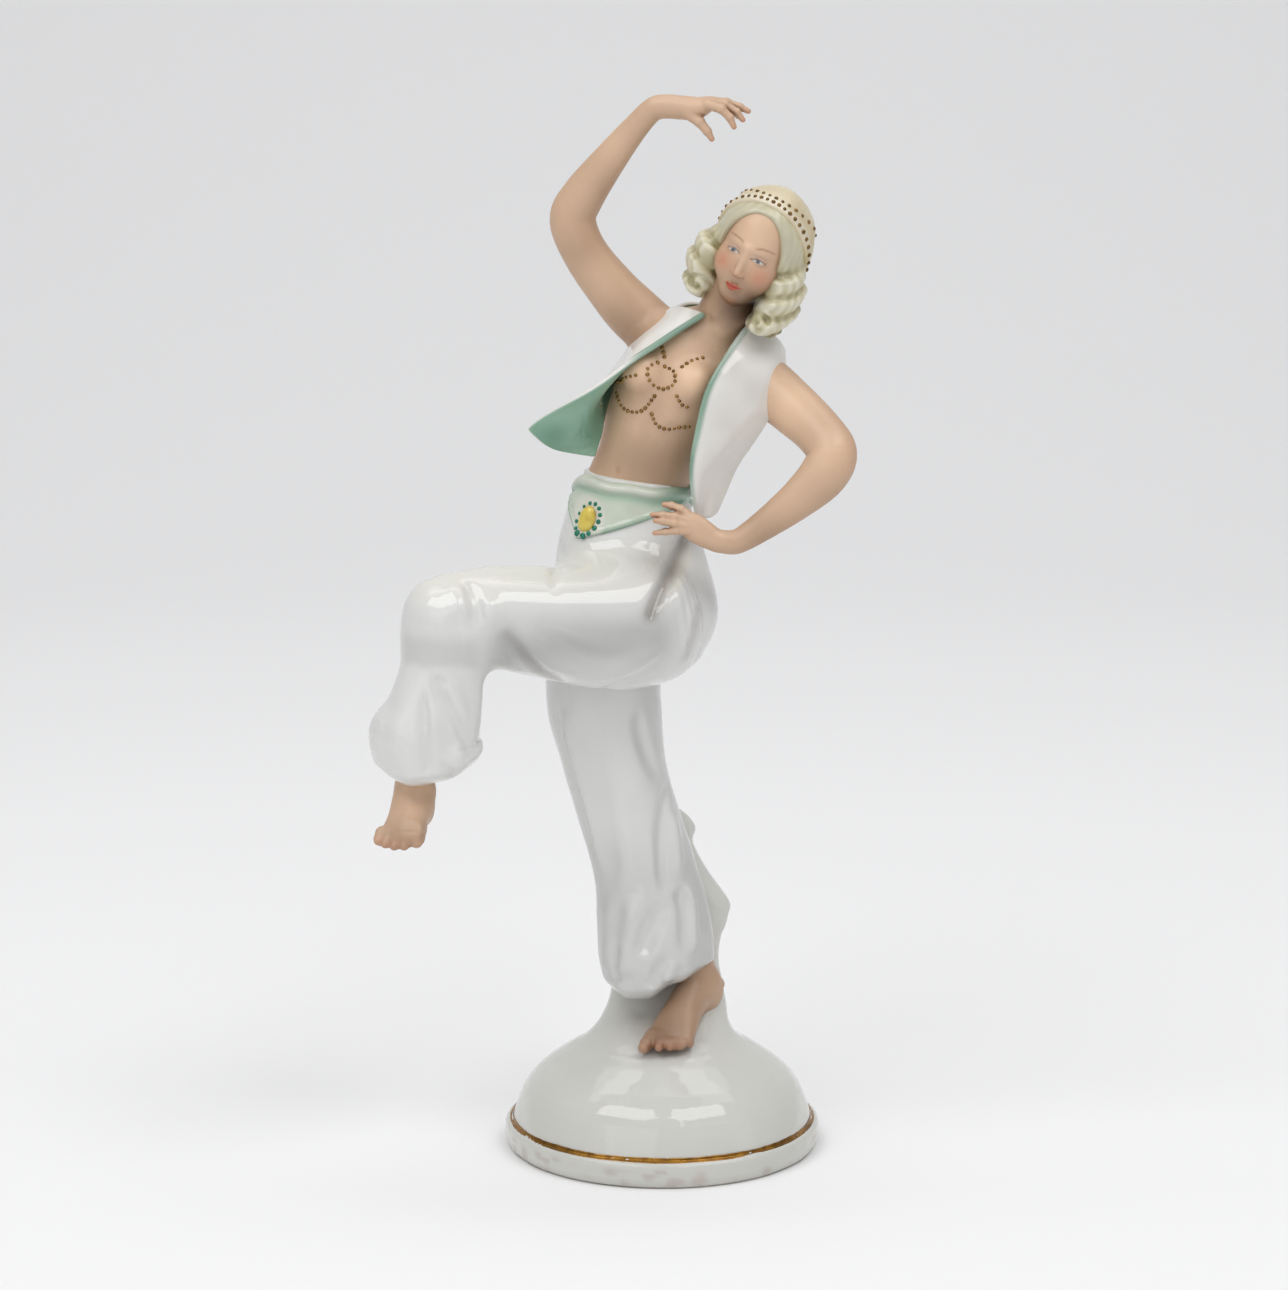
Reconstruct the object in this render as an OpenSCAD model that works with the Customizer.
// Dancer figurine, slip-cast porcelain, built from separately moulded castings
// that are luted together, plus applied gilding and enamel.
// Millimetres. +Z up, -Y is the figurine's viewing side, origin at the centre
// of the foot ring on the surface it stands on.

/* [Base] */
// Largest radius of the foot ring
base_r = 42.5; // [40:0.5:46]
// Height of the foot ring, up to the gilt line
ring_h = 7; // [6:0.5:8]
// Wall thickness of the hollow dome casting
dome_wall = 3.5; // [3:0.25:4.5]
// Radius of the firing vent in the closing disc
vent_r = 1.8; // [1.2:0.1:1.9]
// Depth of the recess inside the foot ring
recess = 1.5; // [1:0.25:2.5]
// Width of the gilt line round the dome
gilt_w = 1.1; // [0.8:0.1:1.4]
// Relief of the gilt line
gilt_t = 0.25; // [0.15:0.05:0.4]

/* [Figure] */
// Thickness scale of both arms
arm_k = 1; // [0.9:0.02:1.1]
// Radius of a finger at its root
finger_r = 1.15; // [1:0.05:1.3]
// Thickness of the bolero where it is cast thin
vest_t = 1.5; // [1.2:0.1:1.8]
// Fold depth of the trouser legs, as a share of their radius
fold_k = 0.05; // [0:0.01:0.08]
// Radius of the neck
neck_r = 5.6; // [5:0.1:6]

/* [Applied decoration] */
// Diameter of a raised enamel bead on the chest ornament
bead_d = 1.15; // [0.9:0.05:1.3]
// Diameter of a raised bead on the cap
cap_bead_d = 1; // [0.8:0.05:1.1]
// Length of the oval belt stone
stone_l = 7.8; // [7:0.2:9]
// Width of the oval belt stone
stone_w = 5.4; // [4.6:0.2:6]

/* [Hidden] */
eps = 0.01;

porcelain = "whitesmoke";
flesh = "burlywood";
mint = "mediumaquamarine";

// ---------- shared shape functions ----------
function unit(v) = v / norm(v);
function xyz(s) = [s[0], s[1], s[2]];
// Catmull-Rom blend of four rows
function cr(a, b, c, d, t) = 0.5 * ((2 * b) + (c - a) * t
  + (2 * a - 5 * b + 4 * c - d) * t * t + (3 * b - a - 3 * c + d) * t * t * t);
// a list of rows with m - 1 rows added between each two
function dense(L, m) = let (n = len(L)) concat(
  [for (i = [0 : n - 2]) for (j = [0 : m - 1])
    cr(L[max(i - 1, 0)], L[i], L[i + 1], L[min(i + 2, n - 1)], j / m)], [L[n - 1]]);

// Skin through elliptical sections. Each row is [x, y, z, radius across, radius along ref],
// the ellipse standing square to the path, or level with the ground if level is true.
// folds adds that many soft flutes of depth k.
module loft(L, m = 3, n = 20, ref = [0, 1, 0], folds = 0, k = 0, level = false) {
  D = dense(L, m);
  c = len(D);
  P = [for (i = [0 : c - 1])
    let (t = level ? [0, 0, 1] : unit(xyz(D[min(i + 1, c - 1)]) - xyz(D[max(i - 1, 0)])),
         s = unit(cross(ref, t)), u = cross(t, s))
    for (j = [0 : n - 1])
      let (a = 360 * j / n, f = 1 + k * cos(folds * a + 20))
      xyz(D[i]) + f * max(D[i][3], 0.05) * cos(a) * s + f * max(D[i][4], 0.05) * sin(a) * u];
  F = concat([[for (j = [0 : n - 1]) j]],
    [for (i = [0 : c - 2]) for (j = [0 : n - 1]) let (a = i * n + j, b = i * n + (j + 1) % n) each
      [[a, a + n, b + n], [a, b + n, b]]],
    [[for (j = [n - 1 : -1 : 0]) (c - 1) * n + j]]);
  polyhedron(points = P, faces = F, convexity = 6);
}

// Cloth of thickness t through a grid of control points
module sheet(G, t, m = 3) {
  R = [for (r = dense([for (g = G) dense(g, m)], m)) r];
  h = len(R);
  w = len(R[0]);
  function nrm(i, j) = unit(cross(R[i][min(j + 1, w - 1)] - R[i][max(j - 1, 0)],
    R[min(i + 1, h - 1)][j] - R[max(i - 1, 0)][j]));
  A = [for (i = [0 : h - 1]) for (j = [0 : w - 1]) R[i][j] + nrm(i, j) * t / 2];
  B = [for (i = [0 : h - 1]) for (j = [0 : w - 1]) R[i][j] - nrm(i, j) * t / 2];
  q = h * w;
  rim = concat([for (j = [0 : w - 1]) j], [for (i = [1 : h - 1]) i * w + w - 1],
    [for (j = [w - 2 : -1 : 0]) (h - 1) * w + j], [for (i = [h - 2 : -1 : 1]) i * w]);
  F = concat(
    [for (i = [0 : h - 2]) for (j = [0 : w - 2]) let (a = i * w + j) each
      [[a, a + w, a + w + 1], [a, a + w + 1, a + 1]]],
    [for (i = [0 : h - 2]) for (j = [0 : w - 2]) let (a = q + i * w + j) each
      [[a, a + w + 1, a + w], [a, a + 1, a + w + 1]]],
    [for (e = [0 : len(rim) - 1]) let (a = rim[e], b = rim[(e + 1) % len(rim)]) each
      [[a, b, q + b], [a, q + b, q + a]]]);
  polyhedron(points = concat(A, B), faces = F, convexity = 8);
}

// An ellipsoid as a loft, so that it cuts cleanly against other lofts
module egg(rx, ry, rz, n = 20, m = 9) {
  loft([for (i = [0 : m]) let (a = -90 + 180 * i / m)
    [0, 0, rz * sin(a), rx * max(cos(a), 0.07), ry * max(cos(a), 0.07)]], m = 1, n = n, level = true);
}

// ---------- base ----------
// dome profile outside: radius and height above the foot ring's top
dome_out = [[base_r - 2.2, 1.8], [base_r - 3.4, 6], [base_r - 5, 9.5], [base_r - 8.4, 13],
  [28, 17.6], [24, 20.2], [20.4, 22.8]];
mound_top = ring_h + 22.8;
module base_dome() {
  color(porcelain) rotate_extrude($fn = 96) polygon(concat(
    [[base_r - 5, 0], [base_r - 1, 0], [base_r, 1], [base_r, ring_h - 2], [base_r - 0.8, ring_h - 0.4]],
    [for (p = dome_out) [p[0], p[1] + ring_h]],
    [[0, mound_top], [0, mound_top - dome_wall - 1]],
    [for (i = [len(dome_out) - 1 : -1 : 1]) [dome_out[i][0] - dome_wall, dome_out[i][1] + ring_h - dome_wall + 0.4]],
    [[base_r - 5, ring_h - 1]]));
}
module base_closing_disc() {
  color(porcelain) difference() {
    translate([0, 0, recess]) cylinder(r = base_r - 5, h = 3, $fn = 96);
    translate([0, 0, recess - 1]) cylinder(r = vent_r, h = 5, $fn = 32);
  }
}
// burnished line in the angle between foot ring and dome
module gilt_line() {
  color("goldenrod") rotate_extrude($fn = 96) polygon([
    [base_r - 0.8, ring_h - 0.4], [base_r - 0.8 + gilt_t, ring_h - 0.4 + gilt_t],
    [base_r - 2 + gilt_t, ring_h + gilt_w + 0.3 + gilt_t], [base_r - 2.1, ring_h + gilt_w + 0.3]]);
}

// ---------- support and standing leg ----------
module prop_raw() {
  loft([[0, 0, mound_top, 20.2, 20.2], [1, 3, 33.5, 18.4, 15], [1.4, 6.6, 37.5, 16.4, 11],
    [1.5, 9.5, 42.5, 15, 9.4], [1.8, 11.4, 50, 14, 8.4], [4.4, 12.6, 60, 13.6, 7.6],
    [4.6, 12.8, 63.5, 13.2, 7.2], [0.8, 13, 73, 11, 6.8], [-1.4, 13.4, 80, 10, 6.4],
    [-0.8, 13.6, 85, 10, 5.8], [-2.6, 13.8, 89.5, 8, 4.6]], m = 3, n = 22, level = true);
}
leg_path = [[0.4, -2, 41.6, 6, 6], [-0.4, -1.8, 43.8, 13, 12.2], [-2, -1, 50, 16, 14.4],
  [-2.2, 1, 59, 15.6, 14], [-5, 4, 77, 13.8, 13], [-11.5, 6, 99, 13.4, 13.4],
  [-15.5, 7.5, 120, 15.8, 15.5], [-15.5, 8, 138, 17, 16], [-13, 6, 150, 15, 14]];
module leg_raw() { loft(leg_path, m = 3, n = 24, folds = 7, k = fold_k); }
module support_prop() {
  color(porcelain) resize([0, 0, 0]) difference() { prop_raw(); leg_raw(); }
}
module standing_foot() {
  color(flesh) resize([0, 0, 0]) difference() {
    union() {
      loft([[7.6, 0, 56, 4.8, 5], [9.4, 0.4, 49, 5, 5.2], [11, 1.2, 43.6, 5.2, 5.4],
        [11.4, 1.8, 39.6, 3.6, 4]], m = 3, n = 14, ref = [1, 0, 0]);
      loft([[15.4, 5, 43, 1.6, 1.8], [13.8, 3.6, 42.6, 3.8, 4.2], [9.6, -1, 41.6, 4.2, 5.2],
        [6, -7, 38.4, 4.6, 4.4], [3, -13, 35, 5.4, 3.1], [1, -17, 33.4, 5.8, 2.2],
        [0, -19.4, 32.4, 4.8, 1.2]], m = 3, n = 14, ref = [0, 0, 1]);
    }
    leg_raw();
    prop_raw();
  }
}
module standing_trouser_leg() {
  color(porcelain) resize([0, 0, 0]) difference() { leg_raw(); seat_raw(); }
}

// ---------- trousers above ----------
module seat_raw() {
  loft([[-4, 0, 128.4, 8, 8], [-4, -0.8, 131, 12.4, 12], [-5, -0.5, 137.5, 16.6, 15.4],
    [-6, 0.5, 148, 19.4, 17], [-8.4, 1.4, 160, 20, 16], [-8.6, 1.5, 170, 17.8, 14],
    [-7.4, 1.5, 178, 15, 11.8]], m = 3, n = 24);
}
module raised_raw() {
  loft([[8, -7, 149, 12, 12], [0, -10, 148, 16.5, 14.5], [-14, -14, 146.5, 16.6, 14.5],
    [-30, -19, 147.5, 14.8, 13.5], [-46, -24, 150.5, 12.8, 12.2], [-55, -27, 150.5, 11.8, 11.4],
    [-58.6, -28.4, 142, 11.3, 10.8], [-58.6, -29, 131, 11.3, 11.2], [-61.5, -29.5, 118, 14.2, 13],
    [-62.6, -29.5, 111, 15.2, 13.8], [-61.5, -29.5, 105.6, 12, 11], [-61, -29.5, 103.6, 6, 6]],
    m = 3, n = 24, ref = [0.25, 1, 0], folds = 6, k = fold_k);
}
module trouser_seat() { color(porcelain) seat_raw(); }
module raised_trouser_leg() {
  color(porcelain) resize([0, 0, 0]) difference() { raised_raw(); seat_raw(); leg_raw(); }
}
module raised_foot() {
  color(flesh) resize([0, 0, 0]) difference() {
    union() {
      loft([[-64.6, -29, 112, 5.2, 5.2], [-65.2, -29.8, 104, 5.3, 5.6], [-66, -32, 99, 5.5, 5.8],
        [-67.4, -36, 96, 6.2, 4], [-69.6, -40.6, 93.6, 7, 2.6], [-70.4, -42, 92.4, 6.2, 1.4]],
        m = 3, n = 16, ref = [0, 0.5, 0.8]);
      loft([[-65, -28, 105, 4, 3.6], [-65, -26, 100.4, 4, 4], [-65.4, -26.4, 97, 3, 3]], m = 3, n = 12);
    }
    raised_raw();
  }
}
// sash round the hips, dipping to a point at the front
module sash_raw() {
  intersection() {
    loft([[-8.4, 1.4, 158, 21.2, 17.2], [-8.6, 1.5, 170, 19, 15.2], [-7.6, 1.5, 176, 16.6, 13.2],
      [-7.2, 1.5, 180.5, 15.8, 12.6]], m = 3, n = 28);
    // a level band with a point below the belt stone
    union() {
      translate([-7, 1, 176]) rotate([0, -6, 0]) cube([60, 60, 13], center = true);
      belt_place() rotate([0, 0, 62]) cube([14, 14, 12], center = true);
    }
  }
}
module waist_sash() {
  color(mint) resize([0, 0, 0]) difference() { sash_raw(); seat_raw(); torso_raw(); }
}
module belt_place() { translate([-20.2, -9.4, 173.6]) rotate([0, 0, -41]) rotate([82, 0, 0]) rotate([0, 0, -20]) children(); }
module belt_stone() {
  color("khaki") belt_place() intersection() {
    rotate_extrude($fn = 48) polygon([[0, 0], [stone_l / 2, 0], [stone_l / 2 - 0.3, 0.7], [stone_l / 2 - 1.6, 1.3], [0, 1.7]]);
    cube([stone_w, stone_l + 1, 6], center = true);
  }
}
module belt_stone_beads() {
  color("seagreen") belt_place() for (i = [0 : 12]) let (a = 360 * i / 13)
    translate([(stone_w / 2 + 1) * cos(a), (stone_l / 2 + 0.9) * sin(a), 0.5]) sphere(d = 1.25, $fn = 20);
}

// ---------- torso ----------
torso_rows = [[-7.7, 1.5, 176.6, 14.4, 11.2], [-6, 1.2, 183, 13.6, 10.2], [-4.2, 1, 188, 13.4, 10],
  [-0.8, 1, 197, 14.8, 11], [3.4, 0.6, 206, 16.2, 12.4], [8, 2, 214, 16, 10.6],
  [12, 2.4, 219.6, 12.6, 8.2], [15.4, 1.4, 223.6, 6.2, 6], [17.2, 0.2, 227, neck_r, neck_r]];
module torso_raw() { loft(torso_rows, m = 3, n = 24); }
module torso() { color(flesh) resize([0, 0, 0]) difference() { torso_raw(); seat_raw(); } }

// ---------- bolero ----------
module vest_back() {
  color(porcelain) resize([0, 0, 0]) difference() {
    sheet([
      [[-19, -1, 204], [-17.5, 9, 198], [-4, 15, 190], [9, 12, 186], [15.5, 2, 184]],
      [[-14.5, 1, 210], [-12.5, 10.5, 206], [-0.5, 15.5, 199], [13, 12.5, 195], [20.5, 2, 193]],
      [[-8, 5, 217], [-5, 12, 215], [4.5, 14.8, 210], [17, 12, 206], [25, 3, 203]],
      [[-3, 7, 224], [2, 11.5, 223], [9.5, 12.6, 220], [19, 11, 216], [26, 4, 213]],
      [[3, 4, 227.5], [7, 8.2, 227.6], [13, 9.4, 226.4], [20, 7.6, 223], [25, 2.5, 218.5]]], vest_t, 3);
    torso_raw();
    arm_r_raw();
    arm_l_raw();
  }
}
module vest_left_front() {
  color(porcelain) resize([0, 0, 0]) difference() {
    sheet([
      [[21.5, -3, 223], [24, -0.5, 221.5], [26, 2.5, 219]],
      [[16.5, -10.5, 217], [22, -9, 213], [27.5, -4, 208]],
      [[11.6, -15.6, 208.4], [18.5, -13.5, 205], [25, -6, 201]],
      [[9.6, -16, 198], [16, -13.8, 195.5], [21.8, -5, 193]],
      [[9.4, -14.6, 187], [13.5, -12.6, 186], [17.5, -5, 184.5]],
      [[11, -14.4, 176.4], [12.2, -13.6, 176], [13.6, -11, 176.4]]], vest_t, 3);
    torso_raw();
    arm_l_raw();
    waist_sash_block();
  }
}
module waist_sash_block() { sash_raw(); seat_raw(); }
module vest_right_front() {
  color(mint) resize([0, 0, 0]) difference() {
    sheet([
      [[9.4, -5.4, 226], [5, -2, 227.4], [2.6, 2.5, 227.2]],
      [[-1, -10.4, 220.4], [-5, -6, 219.6], [-8, 1, 217.6]],
      [[-10.4, -13.6, 213.6], [-13, -8.6, 210.5], [-15, 0, 207.6]],
      [[-22, -14.4, 204.6], [-20.5, -10, 200.8], [-18.5, -2, 199.5]],
      [[-33.6, -13.4, 197.4], [-26.5, -9.6, 195], [-18.4, -2, 192.4]]], vest_t, 3);
    torso_raw();
    arm_r_raw();
  }
}

// ---------- arms and hands ----------
// one row per section: shoulder, upper arm, elbow, forearm, wrist
module arm_r_raw() {
  loft([[5, 6, 215, 7.4 * arm_k, 7 * arm_k], [-6.6, 7.6, 225, 7.5 * arm_k, 6.6 * arm_k],
    [-13.4, 7.4, 232.4, 6.7 * arm_k, 6 * arm_k], [-20.4, 6.6, 242, 6.1 * arm_k, 5.6 * arm_k],
    [-23.6, 6, 250.6, 6.1 * arm_k, 5.4 * arm_k], [-21, 4.6, 257, 5.6 * arm_k, 5 * arm_k],
    [-14.2, 1.4, 266.6, 4.3 * arm_k, 4.1 * arm_k], [-7, -1.8, 275.8, 3.3 * arm_k, 3.2 * arm_k],
    [-2.4, -3.6, 280.6, 3.1 * arm_k, 2.9 * arm_k], [1.4, -4.6, 281.4, 3 * arm_k, 2.8 * arm_k]],
    m = 3, n = 16);
}
module arm_l_raw() {
  loft([[15, 3, 214, 6.8 * arm_k, 7 * arm_k], [25, 0, 209.4, 7.6 * arm_k, 7 * arm_k],
    [33.4, -6.6, 203.4, 7.2 * arm_k, 6.4 * arm_k], [40.6, -14, 197.6, 6.6 * arm_k, 6 * arm_k],
    [44, -18.4, 192.6, 6.6 * arm_k, 5.8 * arm_k], [41.4, -20, 187, 6.3 * arm_k, 5.4 * arm_k],
    [34.6, -21, 180.6, 5.1 * arm_k, 4.6 * arm_k], [26, -21.8, 174.2, 3.9 * arm_k, 3.6 * arm_k],
    [19.4, -22.6, 170.2, 3.2 * arm_k, 3 * arm_k], [16, -23.2, 170.2, 3 * arm_k, 2.6 * arm_k]],
    m = 3, n = 16);
}
module finger(L) {
  loft([for (i = [0 : len(L) - 1]) let (r = finger_r * (i == len(L) - 1 ? 0.4 : 1 - 0.12 * i))
    [L[i][0], L[i][1], L[i][2], r, r]], m = 2, n = 8);
}
module right_arm() {
  color(flesh) resize([0, 0, 0]) difference() { arm_r_raw(); torso_raw(); }
}
module right_hand() {
  color(flesh) resize([0, 0, 0]) union() {
    loft([[1.4, -4.6, 281.4, 3, 2.8], [4, -5.2, 281.2, 2.9, 3.2], [8, -5.8, 281, 2.6, 4],
      [11.6, -6.2, 281.4, 2.1, 4.3], [14, -6.4, 281.6, 1.4, 3.8]], m = 2, n = 14);
    finger([[12, -9.4, 281.8], [15, -10, 281.4], [17.4, -10.2, 279.8], [19, -10.2, 278]]);
    finger([[12, -7.4, 282], [16, -7.6, 281.4], [19, -7.6, 279.6], [20.8, -7.6, 277]]);
    finger([[12, -5.2, 282], [16.4, -5, 282], [20, -5, 281.2], [22.6, -5, 280.2]]);
    finger([[12, -3.2, 281.8], [16, -2.8, 281.8], [19, -2.6, 280.8], [21, -2.6, 279.8]]);
    finger([[5.4, -8, 280.6], [8.2, -9.6, 278.4], [10.2, -10.2, 276.2], [11.6, -10.4, 274.4]]);
  }
}
module left_arm() {
  color(flesh) resize([0, 0, 0]) difference() { arm_l_raw(); torso_raw(); }
}
module left_hand() {
  color(flesh) resize([0, 0, 0]) difference() {
    union() {
      loft([[16, -23.2, 170.2, 3, 2.6], [13.6, -23.5, 170.8, 3.2, 2.4], [10.4, -23.6, 172.6, 3.8, 2.2],
        [7.4, -23.2, 174.6, 3.8, 1.9], [5.8, -23, 175.4, 3.2, 1.4]], m = 2, n = 14);
      finger([[7.2, -22.2, 177.2], [4.6, -21.6, 178.8], [2.2, -21.2, 179.6], [0, -21.4, 179.8]]);
      finger([[6.2, -23, 175.8], [3.2, -23, 176.8], [0, -22.8, 177.2], [-3.4, -22.8, 177.2]]);
      finger([[6, -23.8, 174.6], [3, -24.4, 175.8], [0, -24.4, 176.2], [-2.4, -24.4, 176.2]]);
      finger([[6.6, -24, 173.4], [3.6, -24.4, 173.6], [0.6, -24.2, 173.2], [-2.6, -24, 172.6]]);
      finger([[10, -22, 171.6], [7, -22.4, 170.8], [4.4, -22.6, 170.8], [2.4, -22.6, 171]]);
    }
    seat_raw();
    sash_raw();
  }
}

// ---------- head ----------
module head_place() { translate([25, -5, 245]) rotate([0, 24, 0]) rotate([0, 0, -17]) rotate([8, 0, 0]) children(); }
module skull_raw() {
  head_place() loft([[0, -6, -14.4, 2, 1.6], [0, -4.8, -13.2, 4.6, 4.6], [0, -3, -9, 7.2, 8],
    [0, -1, -3, 8.8, 10], [0, 0.2, 3, 9.6, 11.4], [0, 0.6, 8, 8.8, 10.8], [0, 0.8, 12, 6, 7.6],
    [0, 1, 14, 1.5, 2]], m = 2, n = 20);
}
module neck_raw() {
  loft([[17.2, 0.2, 227, neck_r, neck_r], [19.4, -1.4, 232, neck_r - 0.1, neck_r],
    [22, -3, 238, neck_r, neck_r + 0.6]], m = 2, n = 20);
}
module head() {
  color(flesh) resize([0, 0, 0]) union() { skull_raw(); neck_raw(); }
}
module cap_cut() { head_place() rotate([-12, 0, 0]) translate([0, 0, 26]) cube([60, 60, 43], center = true); }
module hair_raw() {
  difference() {
    union() {
      head_place() translate([0, 2.2, 0.6]) egg(11.8, 12.4, 14.4);
      head_place() translate([-11.3, 0.8, -7]) egg(5.6, 7, 9.2, 14, 7);
      head_place() translate([11.4, 0.5, -9.2]) egg(5.6, 7, 10.6, 14, 7);
      head_place() translate([0, 9, -7]) egg(11, 5.6, 8.6, 16, 7);
    }
    head_place() translate([0, -8.8, -3.2]) egg(7.8, 8.2, 13, 18, 8);
    head_place() translate([0, -12.4, -9.3]) egg(8.6, 10, 13, 16, 8);
  }
}
module hair() {
  color("palegoldenrod") resize([0, 0, 0]) difference() { hair_raw(); skull_raw(); neck_raw(); torso_raw(); cap_cut(); }
}
module cap() {
  color("wheat") resize([0, 0, 0]) difference() {
    intersection() { head_place() translate([0, 2.4, 1]) egg(12.6, 13.4, 15.2, 24, 12); cap_cut(); }
    skull_raw();
  }
}
// beads along the cap's edge and over the crown
module cap_beads() {
  color("goldenrod") head_place() {
    for (i = [0 : 25]) let (a = 360 * i / 26, zz = 4.6 + 2.6 * sin(a) * 1, k = sqrt(1 - pow((zz - 1) / 15.2, 2)))
      translate([12.6 * k * cos(a), 2.4 + 13.4 * k * sin(a), zz]) sphere(d = cap_bead_d, $fn = 18);
    for (i = [1 : 13]) let (a = 180 * i / 14, y0 = -3.4, k = sqrt(1 - pow(y0 / 13.4, 2)))
      translate([12.6 * k * cos(a), 2.4 + y0, 1 + 15.2 * k * sin(a)]) sphere(d = cap_bead_d, $fn = 18);
  }
}
// beads in scallops over the chest; each point is [row of the torso, angle round it]
bead_rows = [
  [[4.9, 224], [4.8, 234], [4.65, 241]],
  [[4.45, 246], [4.4, 256], [4.2, 262], [4, 255], [4, 243], [4.2, 236], [4.35, 239]],
  [[4, 230], [3.9, 223], [3.8, 215], [3.7, 205], [3.6, 190]],
  [[3.35, 201], [3.2, 218], [3.2, 233], [3.4, 245], [3.75, 250]],
  [[5.3, 273], [4.95, 266], [4.65, 261]],
  [[4.05, 270], [3.9, 278], [3.9, 284]],
  [[3.4, 255], [3.25, 264], [3.25, 276], [3.4, 287], [3.5, 296]]];
function row_at(L, k) = let (n = len(L), i = min(floor(k), n - 2))
  cr(L[max(i - 1, 0)], L[i], L[i + 1], L[min(i + 2, n - 1)], k - i);
function on_torso(p) = let (r = row_at(torso_rows, p[0]),
    t = unit(xyz(row_at(torso_rows, p[0] + 0.2) - row_at(torso_rows, p[0] - 0.2))),
    s = unit(cross([0, 1, 0], t)), u = cross(t, s))
  xyz(r) + r[3] * cos(p[1]) * s + r[4] * sin(p[1]) * u;
module bead_row(L) {
  for (i = [0 : len(L) - 2])
    let (m = max(1, floor(norm(on_torso(L[i + 1]) - on_torso(L[i])) / (bead_d + 0.25))))
      for (j = [0 : m - 1]) translate(on_torso(L[i] + (L[i + 1] - L[i]) * j / m)) sphere(d = bead_d, $fn = 18);
  translate(on_torso(L[len(L) - 1])) sphere(d = bead_d, $fn = 18);
}
module chest_beads() {
  color("goldenrod") for (L = bead_rows) bead_row(L);
}

base_dome();
base_closing_disc();
gilt_line();
support_prop();
standing_foot();
standing_trouser_leg();
trouser_seat();
raised_trouser_leg();
raised_foot();
waist_sash();
belt_stone();
belt_stone_beads();
torso();
vest_back();
vest_left_front();
vest_right_front();
right_arm();
right_hand();
left_arm();
left_hand();
head();
hair();
cap();
cap_beads();
chest_beads();
